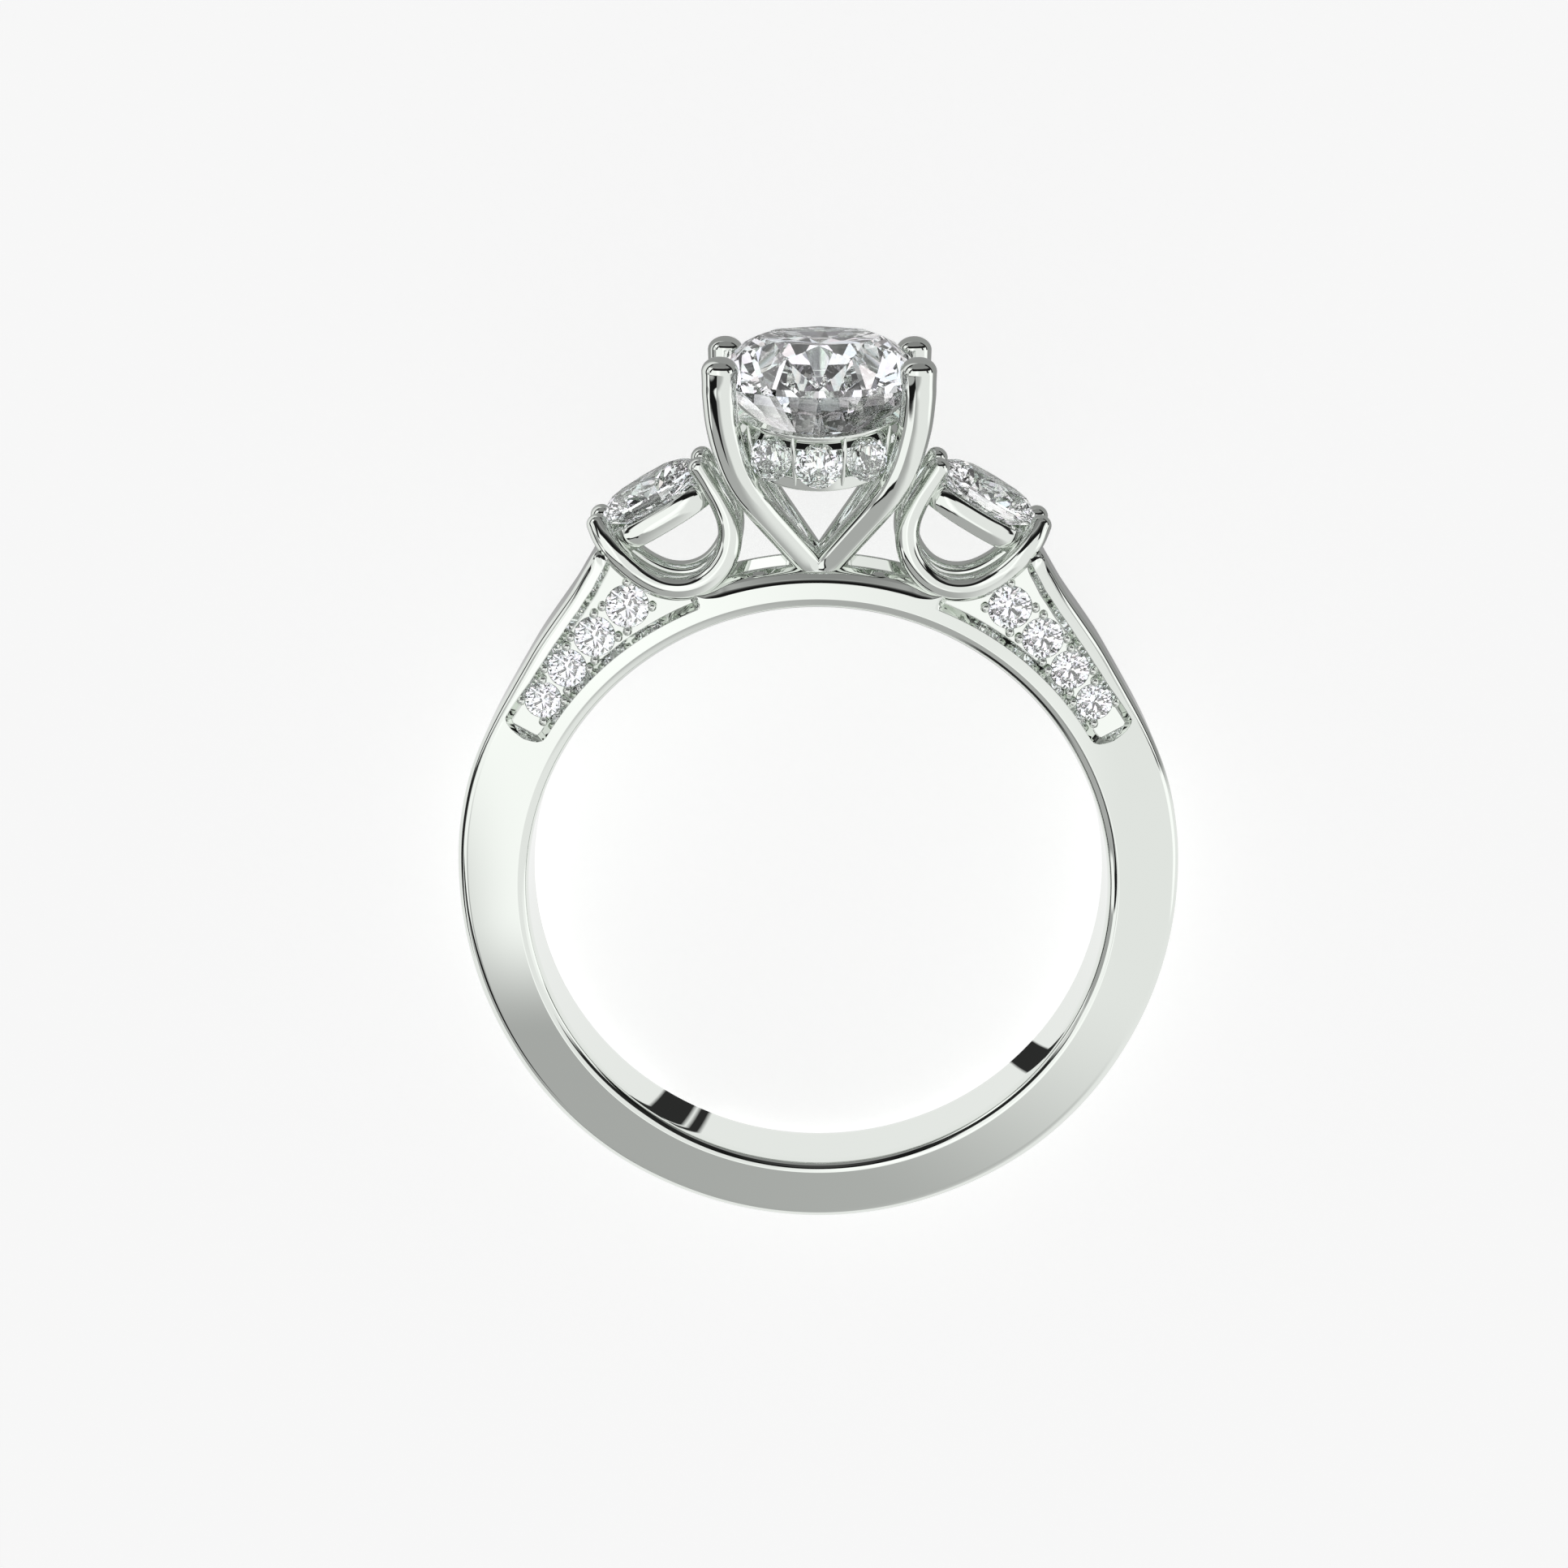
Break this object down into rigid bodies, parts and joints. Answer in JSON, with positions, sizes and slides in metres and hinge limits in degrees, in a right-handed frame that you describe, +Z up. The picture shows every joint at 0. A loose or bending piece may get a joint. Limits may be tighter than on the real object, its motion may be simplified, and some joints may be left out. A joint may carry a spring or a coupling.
{
  "type": "three-stone ring",
  "caption": "Finger ring lying on its side: large oval cut stone in domed claws between smaller oval side stones, small round stones on the shoulders and gallery.",
  "frame": {"origin": "middle of the box in plan, on the floor the ring lies on", "axes": "+Y from the finger hole towards the head, +Z up from the floor, +X to the right with the head at the top"},
  "size_m": [0.0216, 0.0272, 0.0077],
  "materials": {
    "white_gold": "polished white gold",
    "clear_stone": "clear cut stone"
  },
  "bodies": {
    "root": {"ring_metal": "white_gold", "centre_stone": "clear_stone", "side_stone_left": "clear_stone", "side_stone_right": "clear_stone", "shoulder_stone_1": "clear_stone", "shoulder_stone_2": "clear_stone", "shoulder_stone_3": "clear_stone", "shoulder_stone_4": "clear_stone", "shoulder_stone_5": "clear_stone", "shoulder_stone_6": "clear_stone", "shoulder_stone_7": "clear_stone", "shoulder_stone_8": "clear_stone", "shoulder_stone_9": "clear_stone", "shoulder_stone_10": "clear_stone", "shoulder_stone_11": "clear_stone", "shoulder_stone_12": "clear_stone", "shoulder_stone_13": "clear_stone", "shoulder_stone_14": "clear_stone", "shoulder_stone_15": "clear_stone", "shoulder_stone_16": "clear_stone", "gallery_stone_1": "clear_stone", "gallery_stone_2": "clear_stone", "gallery_stone_3": "clear_stone", "gallery_stone_4": "clear_stone", "gallery_stone_5": "clear_stone", "gallery_stone_6": "clear_stone", "gallery_stone_7": "clear_stone", "gallery_stone_8": "clear_stone", "gallery_stone_9": "clear_stone", "gallery_stone_10": "clear_stone"}
  },
  "joints": []
}
